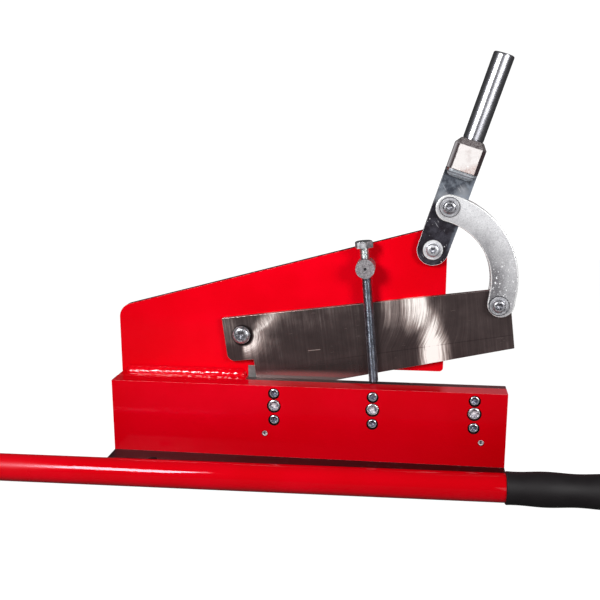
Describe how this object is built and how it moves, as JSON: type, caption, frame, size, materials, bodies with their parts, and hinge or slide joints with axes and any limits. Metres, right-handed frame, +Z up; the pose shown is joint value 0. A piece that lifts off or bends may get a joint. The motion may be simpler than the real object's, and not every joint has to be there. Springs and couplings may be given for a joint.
{
  "type": "bench lever shear",
  "caption": "Red hand lever shear for sheet metal: hinged upper blade worked through curved links by a lever with a loose tube handle",
  "frame": {"origin": "centre of the foot plate's underside, on the bench", "axes": "+X along the blades, from the heel to the open end; +Y from the front of the tool to its back; +Z up"},
  "size_m": [0.7023, 0.1688, 0.4046],
  "materials": {
    "red_enamel": "glossy",
    "black_enamel": "satin",
    "ground_steel": "brushed",
    "turned_steel": "polished",
    "zinc_steel": "satin",
    "dull_zinc": "satin",
    "weld_steel": "satin",
    "bearing_bronze": "satin",
    "grip_rubber": "matte"
  },
  "bodies": {
    "frame": {"foot_plate": "black_enamel", "base_bar": "red_enamel", "heel_block": "red_enamel", "frame_plate": "red_enamel", "plate_welds": "red_enamel", "foot_welds": "red_enamel", "lower_blade": "ground_steel", "blade_rest": "zinc_steel", "blade_clamp_screws": "zinc_steel", "blade_jack_screws": "zinc_steel", "rest_set_screws": "zinc_steel", "heel_guide": "ground_steel", "blade_pivot_bolt": "zinc_steel", "blade_pivot_bush": "bearing_bronze", "blade_pivot_washer": "zinc_steel", "blade_pivot_nut": "zinc_steel", "lever_pivot_bolt": "zinc_steel", "lever_pivot_bush": "bearing_bronze", "lever_pivot_washers": "zinc_steel", "lever_pivot_nut": "zinc_steel"},
    "blade": {"upper_blade": "ground_steel"},
    "lever": {"lever_plate": "dull_zinc", "lever_welds": "weld_steel", "lever_block": "turned_steel", "stub_rod": "turned_steel"},
    "links": {"front_link": "dull_zinc", "rear_link": "dull_zinc", "link_top_bolt": "zinc_steel", "link_low_bolt": "zinc_steel", "link_top_bush": "bearing_bronze", "link_low_bush": "bearing_bronze", "link_washers": "zinc_steel", "link_nuts": "zinc_steel"},
    "hold_down": {"hold_down_stub": "turned_steel", "hold_down_washer": "zinc_steel", "hold_down_nut": "zinc_steel"},
    "hold_down_screw": {"hold_down_bolt": "zinc_steel"},
    "handle": {"handle_tube": "red_enamel", "handle_grip": "grip_rubber"}
  },
  "joints": [
    {"name": "lever_swing", "type": "hinge", "parent": "frame", "child": "lever", "pos_m": [0.124, 0.0181, 0.2192], "axis": [0, 1, 0], "range_deg": [0, 60]},
    {"name": "blade_swing", "type": "hinge", "parent": "frame", "child": "blade", "pos_m": [-0.0678, 0.0181, 0.1284], "axis": [0, 1, 0], "range_deg": [0, 9.5]},
    {"name": "link_swing", "type": "hinge", "parent": "lever", "child": "links", "pos_m": [0.13838, 0.0181, 0.26153], "axis": [0, 1, 0], "range_deg": [-43.5, 0]},
    {"name": "hold_down_swivel", "type": "hinge", "parent": "frame", "child": "hold_down", "pos_m": [0.059, 0.015, 0.2014], "axis": [0, 1, 0], "range_deg": [-3, 9.8]},
    {"name": "hold_down_travel", "type": "slide", "parent": "hold_down", "child": "hold_down_screw", "axis": [-0.0854, 0, 0.9963], "range_m": [0, 0.06]},
    {"name": "handle_lift", "type": "slide", "parent": "frame", "child": "handle", "axis": [0, 0, 1], "range_m": [0, 0.2]}
  ],
  "couplings": [
    {"joint": "blade_swing", "follows": "lever_swing", "ratio": 0.1565},
    {"joint": "link_swing", "follows": "lever_swing", "ratio": -0.721}
  ]
}
